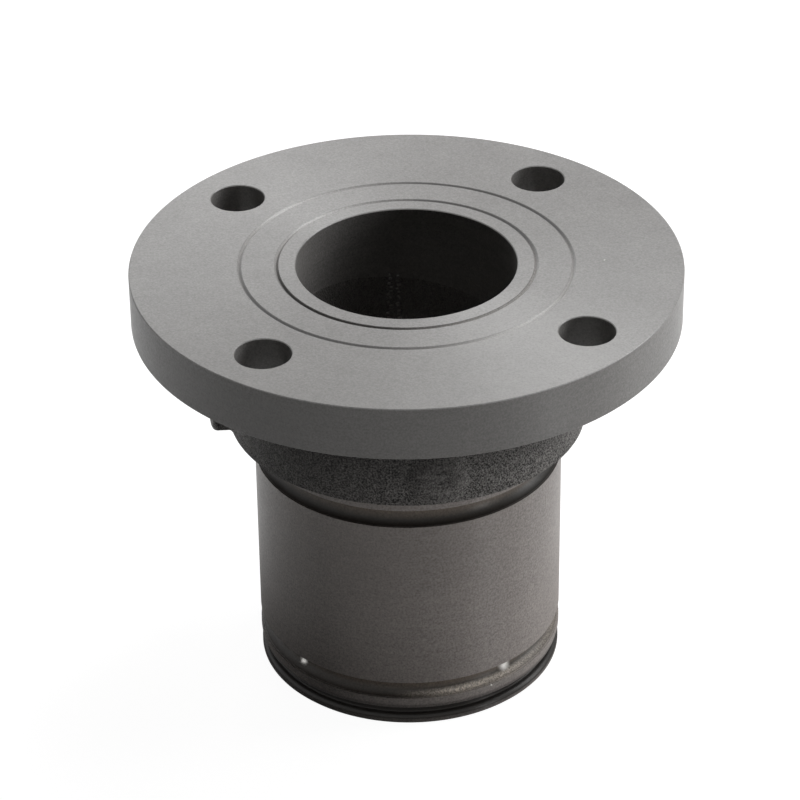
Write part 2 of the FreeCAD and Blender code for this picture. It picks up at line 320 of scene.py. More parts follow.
def core_section():
    """The cored passage, narrow at both ends and wider between them, with rows for its unevenness."""
    widening, steps = CORE_BELLY - CORE_MOUTH, 40
    lower = [(CORE_MOUTH + widening * step / steps, CORE_TAPER * step / steps) for step in range(steps + 1)]
    upper = [(CORE_BELLY - widening * step / steps, 107.2 + CORE_TAPER * step / steps) for step in range(steps + 1)]
    middle = rows(52, 105, CORE_BELLY, 30)
    return wire("core_section", [(0, -4), (36.8, -4), *lower, *middle, *upper, (36.8, 161), (0, 161)])


def facing_section(sizes):
    """What the facing cut takes off under the collar, with a small bevel on the collar's lower edge."""
    spigot, collar, outside, below = sizes.spigot_radius / MM, sizes.collar_radius / MM, 74, 93
    return wire("facing_section", [
        (spigot, below),
        (outside, below),
        (outside, FACED_SHOULDER),
        (collar + 1.1, FACED_SHOULDER),
        (collar + 0.3, FACED_SHOULDER + 0.4),
        (collar - 0.1, FACED_SHOULDER),
        (spigot, FACED_SHOULDER),
        (spigot, below),
    ])


def hole_section(sizes):
    """A bolt hole's cutter, flared at both ends by the edge break."""
    hole, bevel, face = sizes.bolt_hole / MM, sizes.edge_break / MM, sizes.face_height / MM
    back = face - sizes.rim_height / MM
    return wire("hole_section", [
        (0, back - 2),
        (hole + bevel + 2, back - 2),
        (hole, back + bevel),
        (hole, face - bevel),
        (hole + bevel + 2, face + 2),
        (0, face + 2),
    ])


# The bosses: height of their axes, radius of their faces and how far up they start to be squeezed, in
# millimetres, the slope of their draft, the front one's flat and its foot's spread, and their bearings.
BOSS_HEIGHT = 108.375
BOSS_FACE, SQUEEZED_FROM = 9.8, 9.0
BOSS_DRAFT = math.tan(math.radians(3))
SWELL_FLAT, SWELL_SPREAD = 5.5, 2.5
LEFT_BEARING, FRONT_BEARING = math.radians(183), math.radians(273)


def boss_section(collar, reach, rim_round, root_round):
    """Points (distance from the boss's own axis, reach from the flange's axis), from its face inwards."""
    foot = BOSS_FACE + BOSS_DRAFT * (reach - collar)
    deep = foot + root_round
    points = [(0.001, reach), *[((BOSS_FACE - rim_round) * step / 8, reach) for step in range(1, 8)]]
    points += fillet((0, reach), (BOSS_FACE, reach), (foot, collar), rim_round, 8)
    side = (BOSS_FACE + BOSS_DRAFT * rim_round, reach - rim_round)
    points += fillet(side, (foot, collar), (deep + 5, collar), root_round, 8)
    return points + [(deep + 0.3, collar - 0.6), (foot - 1, collar - 5), (0.001, collar - 6)]


def dressed_section(collar, reach):
    """The same for a boss that was dressed down until only a low swell is left."""
    foot = BOSS_FACE + SWELL_SPREAD
    points = []
    for step in range(25):
        across = max(foot * step / 24, 0.001)
        fall = min(max((across - SWELL_FLAT) / (foot - SWELL_FLAT), 0), 1)
        rise = (reach - collar) * (0.5 + 0.5 * math.cos(math.pi * fall))
        points.append((across, collar + rise - 0.02 * fall))
    return points + [(foot + 0.2, collar - 0.6), (foot - 1, collar - 5), (0.001, collar - 6)]


def add_boss(bm, collar, bearing, reach, points):
    """Add a closed round boss to a mesh, wrapped at its root round the collar's wall, with its top squeezed
    in under the collar's shoulder."""
    outwards = Vector((math.cos(bearing), math.sin(bearing), 0))
    sideways = Vector((-math.sin(bearing), math.cos(bearing), 0))
    count = 96
    rings = []
    for across, out in points:
        at_root = min(max((reach - out) / (reach - collar), 0), 1)
        ring = []
        for number in range(count):
            angle = 2 * math.pi * number / count
            side, up = across * math.cos(angle), across * math.sin(angle)
            up = SQUEEZED_FROM + 0.3 * (up - SQUEEZED_FROM) if up > SQUEEZED_FROM else up
            wrap = at_root * (math.sqrt(collar ** 2 - side ** 2) - collar)
            place = outwards * (out + wrap) + sideways * side + Vector((0, 0, BOSS_HEIGHT + up))
            ring.append(bm.verts.new(place * MM))
        rings.append(ring)
    for outer, inner in zip(rings, rings[1:]):
        for number in range(count):
            after = (number + 1) % count
            bm.faces.new((outer[number], inner[number], inner[after], outer[after]))
    bm.faces.new(rings[0])
    bm.faces.new(rings[-1][::-1])


def boss_meshes(sizes, cast):
    """Both bosses as one object of closed shells."""
    collar = sizes.collar_radius / MM
    bm = bmesh.new()
    left, front = cast.left_reach / MM, cast.front_reach / MM
    add_boss(bm, collar, LEFT_BEARING, left, boss_section(collar, left, 2.0, 1.2))
    add_boss(bm, collar, FRONT_BEARING, front, dressed_section(collar, front))
    bmesh.ops.recalc_face_normals(bm, faces=bm.faces)
    mesh = bpy.data.meshes.new("bosses")
    bm.to_mesh(mesh)
    bm.free()
    return in_scene("bosses", mesh)


def new_tree(name, sockets):
    """A geometry tree with these inputs after its geometry. Returns the tree and its input's sockets."""
    tree = bpy.data.node_groups.new(name, "GeometryNodeTree")
    tree.interface.new_socket("Geometry", in_out="OUTPUT", socket_type="NodeSocketGeometry")
    tree.interface.new_socket("Geometry", in_out="INPUT", socket_type="NodeSocketGeometry")
    for label, kind in sockets:
        tree.interface.new_socket(label, in_out="INPUT", socket_type=kind)
    return tree, add(tree, "NodeGroupInput").outputs


def revolve_tree():
    """Turns a section about Z. Row by row, a grid takes its places from the section's points."""
    tree, given = new_tree("revolve", [("Segments", "NodeSocketInt")])
    chain = add(tree, "GeometryNodeAttributeDomainSize", {"Geometry": given["Geometry"]}, component="MESH")
    columns = add(tree, "FunctionNodeIntegerMath", (given["Segments"], 1), operation="ADD")
    grid = add(tree, "GeometryNodeMeshGrid", {"Vertices X": chain.outputs["Point Count"], "Vertices Y": columns})
    index = add(tree, "GeometryNodeInputIndex")
    row = add(tree, "FunctionNodeIntegerMath", (index, columns), operation="DIVIDE_FLOOR")
    column = add(tree, "FunctionNodeIntegerMath", (index, columns), operation="MODULO")
    taken = add(tree, "GeometryNodeSampleIndex", {
        "Geometry": given["Geometry"],
        "Value": add(tree, "GeometryNodeInputPosition"),
        "Index": row,
    }, data_type="FLOAT_VECTOR", domain="POINT")
    share = add(tree, "ShaderNodeMath", (column, given["Segments"]), operation="DIVIDE")
    turn = add(tree, "ShaderNodeMath", (share, -2 * math.pi), operation="MULTIPLY")
    turned = add(tree, "ShaderNodeVectorRotate", {"Vector": taken, "Angle": turn}, rotation_type="Z_AXIS")
    placed = add(tree, "GeometryNodeSetPosition", {"Geometry": grid, "Position": turned})
    closed = add(tree, "GeometryNodeMergeByDistance", {"Geometry": placed, "Distance": 1e-6})
    add(tree, "NodeGroupOutput", {"Geometry": closed})
    return tree


def revolved(tree, group, part, segments):
    """The solid that a section makes when it is turned. The section is an object that the tree is given."""
    chain = add(tree, "GeometryNodeObjectInfo", {"Object": part}).outputs["Geometry"]
    return add(tree, "GeometryNodeGroup", {"Geometry": chain, "Segments": segments}, node_tree=group)


def between(tree, number, low, high):
    """1 where a number lies between two others, and 0 elsewhere."""
    above = add(tree, "ShaderNodeMath", (number, low), operation="GREATER_THAN")
    below = add(tree, "ShaderNodeMath", (number, high), operation="LESS_THAN")
    return add(tree, "ShaderNodeMath", (above, below), operation="MULTIPLY")


def roughened(tree, solid, chosen, width, depth, shift):
    """The chosen part of a casting, moved as one and made uneven by waves of this width and depth."""
    waves = grains(tree, (add(tree, "GeometryNodeInputPosition"), width, 2.0, 0.6, 1))
    level = add(tree, "ShaderNodeMath", (waves, 0.5), operation="SUBTRACT")
    height = add(tree, "ShaderNodeMath", (level, depth), operation="MULTIPLY")
    normal = add(tree, "GeometryNodeInputNormal")
    proud = add(tree, "ShaderNodeVectorMath", {0: normal, "Scale": height}, operation="SCALE")
    moved = add(tree, "ShaderNodeVectorMath", (proud, shift), operation="ADD")
    return add(tree, "GeometryNodeSetPosition", {"Geometry": solid, "Selection": chosen, "Offset": moved})


def as_cast(tree, solid, rough):
    """Note on each face whether it is left as cast, so that it keeps its finish through the cuts."""
    return add(tree, "GeometryNodeStoreNamedAttribute", {"Geometry": solid, "Name": "as_cast", "Value": rough},
               data_type="FLOAT", domain="FACE")


# Where each finish lies, in metres: heights above the spigot's end, and radii from the axis.
CAST_HEIGHTS, CAST_RADII = (0.0965, 0.1381), (0.0545, 0.0760)
CORE_RADII = (0.0360, 0.0400)
FACE_FROM = 0.15685
RACE_TO_HEIGHT, RACE_RADII = 0.0919, (0.045, 0.0537)
SEAL_HEIGHTS, SEAL_RADII, END_FACE_TO = (0.0020, 0.0069), (0.045, 0.06), 0.0006
BORE_TO_HEIGHT, BORE_TO_RADIUS = 0.15695, 0.045


def finish_places(tree, height, radius):
    """The faces that each finish after the first goes on, in order. A later one goes over an earlier one."""
    on_face = add(tree, "ShaderNodeMath", (height, FACE_FROM), operation="GREATER_THAN")
    low = add(tree, "ShaderNodeMath", (height, RACE_TO_HEIGHT), operation="LESS_THAN")
    in_races = add(tree, "ShaderNodeMath", (low, between(tree, radius, *RACE_RADII)), operation="MULTIPLY")
    on_end = add(tree, "ShaderNodeMath", (height, END_FACE_TO), operation="LESS_THAN")
    at_end = add(tree, "ShaderNodeMath", (between(tree, height, *SEAL_HEIGHTS), on_end), operation="MAXIMUM")
    in_seal = add(tree, "ShaderNodeMath", (at_end, between(tree, radius, *SEAL_RADII)), operation="MULTIPLY")
    grooved = add(tree, "ShaderNodeMath", (in_races, in_seal), operation="MAXIMUM")
    below_face = add(tree, "ShaderNodeMath", (height, BORE_TO_HEIGHT), operation="LESS_THAN")
    inside = add(tree, "ShaderNodeMath", (radius, BORE_TO_RADIUS), operation="LESS_THAN")
    in_bore = add(tree, "ShaderNodeMath", (below_face, inside), operation="MULTIPLY")
    noted = add(tree, "GeometryNodeInputNamedAttribute", {"Name": "as_cast"}, data_type="FLOAT")
    rough = add(tree, "ShaderNodeMath", (noted.outputs["Attribute"], 0.5), operation="GREATER_THAN")
    return {"Face finish": on_face, "Groove finish": grooved, "Bore finish": in_bore, "Cast finish": rough}


def flange_tree():
    """The flange from its section: the casting, its bosses, the facing cut, the core and the bolt holes."""
    tree, given = new_tree("turned_flange", [
        ("Bosses", "NodeSocketObject"),
        ("Facing section", "NodeSocketObject"),
        ("Core section", "NodeSocketObject"),
        ("Hole section", "NodeSocketObject"),
        ("Segments", "NodeSocketInt"),
        ("Bolt circle", "NodeSocketFloat"),
        ("Bolt holes", "NodeSocketInt"),
        ("Casting shift", "NodeSocketFloat"),
        *[(finish, "NodeSocketMaterial") for finish in (*TURNED_FINISHES, "Cast finish")],
    ])
    group = revolve_tree()
    segments = given["Segments"]
    position = add(tree, "GeometryNodeInputPosition")
    height = add(tree, "ShaderNodeSeparateXYZ", (position,)).outputs["Z"]
    radius = axis_distance(tree, position)

    outside = add(tree, "GeometryNodeGroup", {"Geometry": given["Geometry"], "Segments": segments}, node_tree=group)
    bosses = add(tree, "GeometryNodeObjectInfo", {"Object": given["Bosses"]}).outputs["Geometry"]
    casting = add(tree, "GeometryNodeMeshBoolean", {"Mesh 2": [outside, bosses]},
                  operation="UNION", solver="MANIFOLD")
    on_casting = add(tree, "ShaderNodeMath", (
        between(tree, height, *CAST_HEIGHTS), between(tree, radius, *CAST_RADII)), operation="MULTIPLY")
    left = add(tree, "ShaderNodeVectorMath", {0: (-0.9938, 0.1115, 0), "Scale": given["Casting shift"]},
               operation="SCALE")
    casting = roughened(tree, casting, on_casting, 0.006, 0.00022, left)
    casting = as_cast(tree, casting, on_casting)

    facing = revolved(tree, group, given["Facing section"], segments)
    core = revolved(tree, group, given["Core section"], segments)
    on_core = between(tree, radius, *CORE_RADII)
    core = roughened(tree, core, on_core, 0.007, 0.00003, (-0.0002, 0, 0))
    core = as_cast(tree, core, 1.0)

    cutter = revolved(tree, group, given["Hole section"], 96)
    ring = add(tree, "GeometryNodeMeshCircle", {"Vertices": given["Bolt holes"], "Radius": given["Bolt circle"]})
    start = add(tree, "GeometryNodeTransform", {"Geometry": ring, "Rotation": (0, 0, math.radians(45))})
    holes = add(tree, "GeometryNodeInstanceOnPoints", {"Points": start, "Instance": cutter})
    holes = add(tree, "GeometryNodeRealizeInstances", {"Geometry": holes})

    solid = add(tree, "GeometryNodeMeshBoolean", {"Mesh 1": casting, "Mesh 2": [facing, core, holes]},
                operation="DIFFERENCE", solver="MANIFOLD")
    smooth = add(tree, "GeometryNodeSetShadeSmooth", {"Geometry": solid}, domain="FACE")
    bend = add(tree, "GeometryNodeInputMeshEdgeAngle").outputs["Unsigned Angle"]
    crisp = add(tree, "GeometryNodeSetShadeSmooth", {
        "Geometry": smooth,
        "Selection": add(tree, "ShaderNodeMath", (bend, math.radians(22)), operation="GREATER_THAN"),
        "Shade Smooth": False,
    }, domain="EDGE")
    real = add(tree, "GeometryNodeRealizeInstances", {"Geometry": crisp})
    finished = add(tree, "GeometryNodeSetMaterial", {"Geometry": real, "Material": given["Turned finish"]})
    for finish, chosen in finish_places(tree, height, radius).items():
        finished = add(tree, "GeometryNodeSetMaterial", {
            "Geometry": finished, "Selection": chosen, "Material": given[finish]})
    add(tree, "NodeGroupOutput", {"Geometry": finished})
    return tree


# The height from which the core narrows upwards and its radius there, in metres, and the slope of its wall.
CORE_NARROWS_FROM, CORE_WALL, CORE_SLOPE = 0.1072, 0.0390, -0.04


def seam_tree():
    """Two upright rows of small cast bumps on the cored wall, where the halves of the core met."""
    tree, given = new_tree("core_seam", [
        ("Bumps", "NodeSocketInt"),
        ("Bump size", "NodeSocketFloat"),
        ("Top", "NodeSocketFloat"),
        ("Bottom", "NodeSocketFloat"),
        ("Seed", "NodeSocketInt"),
        ("Finish", "NodeSocketMaterial"),
    ])
    line = add(tree, "GeometryNodeMeshLine", {"Count": given["Bumps"]})
    index = add(tree, "GeometryNodeInputIndex")
    chances = []
    for number, (low, high) in enumerate((
        ((-0.9, -0.0005, 0), (0.9, 0.0005, 0)),
        ((0.35, 0.5, 0.35), (0.8, 1.0, 0.7)),
    )):
        chances.append(add(tree, "FunctionNodeRandomValue", {
            "Min": low,
            "Max": high,
            "ID": index,
            "Seed": add(tree, "ShaderNodeMath", (given["Seed"], number), operation="ADD"),
        }, data_type="FLOAT_VECTOR"))
    strayed, sizes = chances
    stray = add(tree, "ShaderNodeSeparateXYZ", (strayed,)).outputs

    share = add(tree, "ShaderNodeMath", (index, given["Bumps"]), operation="DIVIDE")
    fall = add(tree, "ShaderNodeMath", (given["Bottom"], given["Top"]), operation="SUBTRACT")
    drop = add(tree, "ShaderNodeMath", (share, fall), operation="MULTIPLY")
    even = add(tree, "ShaderNodeMath", (given["Top"], drop), operation="ADD")
    height = add(tree, "ShaderNodeMath", (even, stray["Y"]), operation="ADD")

    row = add(tree, "ShaderNodeMath", (index, 2), operation="MODULO")
    bearing = add(tree, "ShaderNodeMath", (row, -4.8, 92.6), operation="MULTIPLY_ADD")
    bearing = add(tree, "ShaderNodeMath", (bearing, stray["X"]), operation="ADD")
    angle = add(tree, "ShaderNodeMath", (bearing,), operation="RADIANS")

    above = add(tree, "ShaderNodeMath", (height, CORE_NARROWS_FROM), operation="SUBTRACT")
    wall = add(tree, "ShaderNodeMath", (above, CORE_SLOPE, CORE_WALL), operation="MULTIPLY_ADD")
    across = add(tree, "ShaderNodeMath", (angle,), operation="COSINE")
    along = add(tree, "ShaderNodeMath", (angle,), operation="SINE")
    place = add(tree, "ShaderNodeCombineXYZ", {
        "X": add(tree, "ShaderNodeMath", (wall, across), operation="MULTIPLY"),
        "Y": add(tree, "ShaderNodeMath", (wall, along), operation="MULTIPLY"),
        "Z": height,
    })
    placed = add(tree, "GeometryNodeSetPosition", {"Geometry": line, "Position": place})
    bumps = add(tree, "GeometryNodeInstanceOnPoints", {
        "Points": placed,
        "Instance": add(tree, "GeometryNodeMeshIcoSphere", {"Radius": given["Bump size"], "Subdivisions": 2}),
        "Rotation": add(tree, "ShaderNodeCombineXYZ", {"Z": angle}),
        "Scale": sizes,
    })
    real = add(tree, "GeometryNodeRealizeInstances", {"Geometry": bumps})
    smooth = add(tree, "GeometryNodeSetShadeSmooth", {"Geometry": real}, domain="FACE")
    finished = add(tree, "GeometryNodeSetMaterial", {"Geometry": smooth, "Material": given["Finish"]})
    add(tree, "NodeGroupOutput", {"Geometry": finished})
    return tree


def grown(name, start, tree, inputs):
    """Run a geometry tree on an object and keep the result as a plain mesh in a new object."""
    modifier = start.modifiers.new("grow", "NODES")
    modifier.node_group = tree
    for item in tree.interface.items_tree:
        if item.item_type == "SOCKET" and item.in_out == "INPUT" and item.name in inputs:
            modifier[item.identifier] = inputs[item.name]
    graph = bpy.context.evaluated_depsgraph_get()
    mesh = bpy.data.meshes.new_from_object(start.evaluated_get(graph))
    start.modifiers.remove(modifier)
    mesh.name = name
    return in_scene(name, mesh)


def discard(*made):
    """Remove the helpers that a piece was made from."""
    for one in made:
        bpy.data.objects.remove(one)


def new_material(name):
    """A material with its surface shader and the piece's own coordinates."""
    material = bpy.data.materials.new(name)
    material.use_nodes = True
    tree = material.node_tree
    surface = tree.nodes["Principled BSDF"]
    where = add(tree, "ShaderNodeTexCoord").outputs["Object"]
    return material, tree, surface, where


def grained(tree, skin, contrast):
    """A strength near 1 that follows a grain, with this contrast."""
    level = add(tree, "ShaderNodeMath", (skin, 0.5), operation="SUBTRACT")
    return add(tree, "ShaderNodeMath", (level, contrast, 1.0), operation="MULTIPLY_ADD")


def only_in(tree, part, strength):
    """A strength that holds where part is 1 and gives way to 1 where it is 0."""
    change = add(tree, "ShaderNodeMath", (strength, 1.0), operation="SUBTRACT")
    return add(tree, "ShaderNodeMath", (part, change, 1.0), operation="MULTIPLY_ADD")


def shaded(tree, colour, *strengths):
    """A colour made lighter or darker by several strengths."""
    for strength in strengths:
        colour = add(tree, "ShaderNodeVectorMath", {0: colour, "Scale": strength}, operation="SCALE")
    return colour


# Widths in metres that the grain of the turned coat, its tool marks and its clouds are drawn at, and the range
# that most of a noise's values lie in.
MATT_GRAIN, TOOL_MARK, CLOUD = 0.0007, 0.0012, 0.03
NOISE_SPREAD = (0.3, 0.7)

# Where a fade starts and ends, in metres: heights above the spigot's end, radii from the axis, and places from
# left to right for the two ends of the painted highlight band in the lower race.
SPIGOT_TO_FLANGE = (0.097, 0.13)
SPIGOT_LENGTH = (0.002, 0.07)
LIP_SHOULDER, SEAL_UPPER_EDGE, SEAL_MOUTH = (0.0012, 0.0030), (0.0068, 0.0073), (0.0530, 0.0537)
GROOVE_DEPTH, FLANGE_FACE = (0.15695, 0.15715), (0.1560, 0.1562)
INSIDE_GROOVES, OUTSIDE_GROOVES = (0.040, 0.042), (0.060, 0.062)
RACE_FLOOR, RACE_MOUTH, BELOW_COLLAR = (0.046, 0.048), (0.0541, 0.0543), (0.095, 0.100)
LOWER_RACE_WALL, UPPER_RACE_WALL, MID_SPIGOT = (0.0130, 0.0150), (0.0852, 0.0878), (0.05, 0.06)
HIGHLIGHT_LOWER_EDGE, HIGHLIGHT_UPPER_EDGE = (0.0108, 0.0116), (0.0120, 0.0132)
HIGHLIGHT_LEFT, HIGHLIGHT_RIGHT = (-0.012, 0.009), (0.012, 0.040)
HIGHLIGHT_MOUTH = (0.0540, 0.0543)
BORE_TO_COLLAR, COLLAR_WALL = (0.043, 0.048), (0.103, 0.116)

# The next three strengths are painted by place on the object. They stand in for light and shade that the photo
# shows there and the lamps alone don't give. The real coat isn't known to differ there.


def seal_tone(tree, height, radius):
    """Dark in the seal groove and over the lip's shoulder below it."""
    deep = fades(tree, (radius, *SEAL_MOUTH, 0.3, 1.0))
    low = fades(tree, (height, *LIP_SHOULDER, 1.0, 0.3))
    sunk = add(tree, "ShaderNodeMath", (deep, low), operation="MINIMUM")
    above = fades(tree, (height, *SEAL_UPPER_EDGE, 0.0, 1.0))
    return add(tree, "ShaderNodeMath", (sunk, above), operation="MAXIMUM")


def face_groove_tone(tree, place, radius):
    """In the face grooves, dark on one diagonal of the face and light on the other."""
    height = place["Z"]
    in_groove = fades(tree, (height, *GROOVE_DEPTH, 1.0, 0.0), (radius, *INSIDE_GROOVES, 0.0, 1.0),
                      (height, *FLANGE_FACE, 0.0, 1.0), (radius, *OUTSIDE_GROOVES, 1.0, 0.0))
    product = add(tree, "ShaderNodeMath", (place["X"], place["Y"]), operation="MULTIPLY")
    square = add(tree, "ShaderNodeMath", (radius, 2.0), operation="POWER")
    diagonal = add(tree, "ShaderNodeMath", (product, square), operation="DIVIDE")
    return only_in(tree, in_groove, fades(tree, (diagonal, -0.35, 0.25, 1.5, 0.38)))


def race_tone(tree, height, radius):
    """In both races, dark low on the wall and light high on it."""
    in_race = fades(tree, (radius, *RACE_FLOOR, 0.0, 1.0), (radius, *RACE_MOUTH, 1.0, 0.0),
                    (height, *BELOW_COLLAR, 1.0, 0.0))
    wall = add(tree, "ShaderNodeMix", {
        "Factor": fades(tree, (height, *MID_SPIGOT, 0.0, 1.0)),
        2: fades(tree, (height, *LOWER_RACE_WALL, 0.5, 2.0)),
        3: fades(tree, (height, *UPPER_RACE_WALL, 0.3, 2.0)),
    })
    return only_in(tree, in_race, wall)


# Places and widths, in metres, of two marks in the lower race, of a speck under it and of one on the face.
BARE_MARKS = (
    ((-0.0417, -0.0296, 0.0140), 0.0022),
    ((0.0288, -0.0423, 0.0148), 0.0028),
    ((0.0230, -0.0492, 0.0109), 0.0005),
    ((0.0676, -0.0076, 0.1572), 0.0004),
)


def bare_marks(tree, where):
    """1 on the small marks and specks where metal shows, with a ragged outline, and 0 elsewhere."""
    ragged = add(tree, "ShaderNodeTexNoise", {"Vector": where, "Scale": 1 / 0.0015}).outputs["Color"]
    wobble = add(tree, "ShaderNodeVectorMath", (ragged, (0.5, 0.5, 0.5)), operation="SUBTRACT")
    wobble = add(tree, "ShaderNodeVectorMath", {0: wobble, "Scale": 0.0016}, operation="SCALE")
    wobbly = add(tree, "ShaderNodeVectorMath", (where, wobble), operation="ADD")
    marks = 0.0
    for place, width in BARE_MARKS:
        distance = add(tree, "ShaderNodeVectorMath", (wobbly, place), operation="DISTANCE").outputs["Value"]
        mark = fades(tree, (distance, width * 0.3, width * 1.1, 1.0, 0.0))
        marks = add(tree, "ShaderNodeMath", (marks, mark), operation="MAXIMUM")
    return marks


def painted_race_highlight(tree, place, where, radius):
    """1 on a painted highlight: a light band low in the lower race, across its front, broken up as glitter."""
    glitter = grains(tree, (where, 0.0006, 1.0, 0.5, 1))
    return fades(
        tree, (place["Z"], *HIGHLIGHT_LOWER_EDGE, 0.0, 1.0), (place["Z"], *HIGHLIGHT_UPPER_EDGE, 1.0, 0.0),
        (place["X"], *HIGHLIGHT_LEFT, 0.0, 1.0), (place["X"], *HIGHLIGHT_RIGHT, 1.0, 0.3),
        (radius, *HIGHLIGHT_MOUTH, 1.0, 0.0), (glitter, 0.38, 0.62, 0.45, 1.0))


def turned_finish(name, high, low, colours, gloss):
    """Hard anodised aluminium, turned: an even, dull, dark grey coat, browner on the spigot. Its matt grain is
    a few hundredths of a millimetre wide, too fine to show, so it is drawn 0.7 mm wide. Tool marks run round
    it and spread its shine across them. They are finer than a pixel too, and drawn about 1 mm apart. Soft
    clouds 30 mm wide lie under both."""
    material, tree, surface, where = new_material(name)
    place = add(tree, "ShaderNodeSeparateXYZ", (where,)).outputs
    height, radius = place["Z"], axis_distance(tree, where)
    around = add(tree, "ShaderNodeVectorMath", (where, (0.08, 0.08, 1.0)), operation="MULTIPLY")

    base = add(tree, "ShaderNodeMix", {
        "Factor": fades(tree, (height, *SPIGOT_TO_FLANGE, 0.0, 1.0)),
        6: low,
        7: high,
    }, data_type="RGBA").outputs[2]
    matt = grains(tree, (where, MATT_GRAIN, 2.0, 0.6, 1))
    tool_marks = grains(tree, (around, TOOL_MARK, 2.0, 0.6, 1))
    clouds = grains(tree, (where, CLOUD, 3.0, 0.5, 1))
    coat = shaded(
        tree, base,
        grained(tree, matt, fades(tree, (height, *SPIGOT_TO_FLANGE, 1.55, 1.1))),
        fades(tree, (tool_marks, *NOISE_SPREAD, 0.94, 1.06)),
        fades(tree, (clouds, *NOISE_SPREAD, 0.96, 1.04)),
        seal_tone(tree, height, radius),
        face_groove_tone(tree, place, radius),
        race_tone(tree, height, radius),
        # Painted light: the coat is lighter towards the spigot's end, for the light that the floor bounces up there.
        # The photo is lighter towards the spigot's end, which this stands in for too.
        fades(tree, (height, *SPIGOT_LENGTH, 1.32, 1.0)))

    # Painted highlight: a light, partly metallic band low in the lower race, then the bare marks over it.
    highlight_band, marks = painted_race_highlight(tree, place, where, radius), bare_marks(tree, where)
    race_highlight = add(tree, "ShaderNodeMix", {"Factor": highlight_band, 6: coat, 7: colours.race_highlight}, data_type="RGBA").outputs[2]
    mixed = add(tree, "ShaderNodeMix", {"Factor": marks, 6: race_highlight, 7: colours.bare}, data_type="RGBA").outputs[2]
    tree.links.new(mixed, surface.inputs["Base Color"])
    highlight_metal = add(tree, "ShaderNodeMath", (highlight_band, 0.4), operation="MULTIPLY")
    bare = add(tree, "ShaderNodeMath", (marks, 0.75), operation="MULTIPLY")
    metal = add(tree, "ShaderNodeMath", (highlight_metal, bare), operation="MAXIMUM")
    tree.links.new(metal.outputs[0], surface.inputs["Metallic"])
    uneven = fades(tree, (grains(tree, (where, 0.002, 2.0, 0.5, 1)), *NOISE_SPREAD, 0.38, 0.46))
    tree.links.new(uneven.outputs[0], surface.inputs["Roughness"])
    surface.inputs["Specular IOR Level"].default_value = gloss
    surface.inputs["Anisotropic"].default_value = 0.75
    surface.inputs["Anisotropic Rotation"].default_value = 0.25
    tangent = add(tree, "ShaderNodeTangent", direction_type="RADIAL", axis="Z")
    tree.links.new(tangent.outputs[0], surface.inputs["Tangent"])
    skin = grains(tree, (where, MATT_GRAIN, 2.0, 0.6, 1), (around, 0.0010, 2.0, 0.6, 0.5))
    bump = add(tree, "ShaderNodeBump", {"Strength": 0.5, "Distance": 0.00008, "Height": skin})
    tree.links.new(bump.outputs[0], surface.inputs["Normal"])
    return material


# Middle of the front boss's dressed face, in metres.
SWELL_PLACE = (0.0643 * math.cos(FRONT_BEARING), 0.0643 * math.sin(FRONT_BEARING), 0.1085)


def cast_finish(colours):
    """Hard anodised aluminium over a sand-cast skin. Grains 0.6 mm wide on soft lumps 2 mm wide catch the light
    on top and hold a darker coat between them. The dressed front boss has fainter grain and fine lines."""
    material, tree, surface, where = new_material("cast_anodised_aluminium")
    height = add(tree, "ShaderNodeSeparateXYZ", (where,)).outputs["Z"]
    radius = axis_distance(tree, where)
    distance = add(tree, "ShaderNodeVectorMath", (where, SWELL_PLACE), operation="DISTANCE").outputs["Value"]
    dressed = fades(tree, (distance, 0.007, 0.0115, 1.0, 0.0))
    around = add(tree, "ShaderNodeVectorMath", (where, (0.12, 0.12, 1.0)), operation="MULTIPLY")
    skin = add(tree, "ShaderNodeMix", {
        "Factor": add(tree, "ShaderNodeMath", (dressed, 0.35), operation="MULTIPLY"),
        2: grains(tree, (where, 0.0022, 2.0, 0.6, 0.2), (where, 0.00058, 1.0, 0.6, 0.8)),
        3: grains(tree, (around, 0.0011, 2.0, 0.6, 1)),
    })
    grain = grained(tree, skin, fades(tree, (radius, *BORE_TO_COLLAR, 1.6, 6.2)))
    clouds = grains(tree, (where, 0.02, 3.0, 0.5, 1))
    coat = shaded(
        tree, colours.cast[:3],
        add(tree, "ShaderNodeMath", (grain, 0.1), operation="MAXIMUM"),
        # Darker towards the flange: it stands in for the flange's shade on the collar, as deep as the photo's.
        fades(tree, (height, *COLLAR_WALL, 1.18, 0.62)),
        fades(tree, (clouds, *NOISE_SPREAD, 0.95, 1.05)),
        fades(tree, (dressed, 0, 1, 1.0, 1.06)),
        fades(tree, (radius, *BORE_TO_COLLAR, 1.9, 1.0)))
    tree.links.new(coat.outputs[0], surface.inputs["Base Color"])
    surface.inputs["Roughness"].default_value = 0.5
    surface.inputs["Specular IOR Level"].default_value = 0.07
    bump = add(tree, "ShaderNodeBump", {"Strength": 1.0, "Distance": 0.0005, "Height": skin})
    tree.links.new(bump.outputs[0], surface.inputs["Normal"])
    return material


# Each turned finish: its material, its colours on the flange and on the spigot, and its gloss.
TURNED_FINISHES = {
    "Face finish": ("faced_anodised_aluminium", "faced", "spigot", 0.90),
    "Turned finish": ("turned_anodised_aluminium", "turned", "spigot", 0.42),
    "Groove finish": ("grooved_anodised_aluminium", "turned", "groove", 0.34),
    "Bore finish": ("bored_anodised_aluminium", "turned", "turned", 0.06),
}


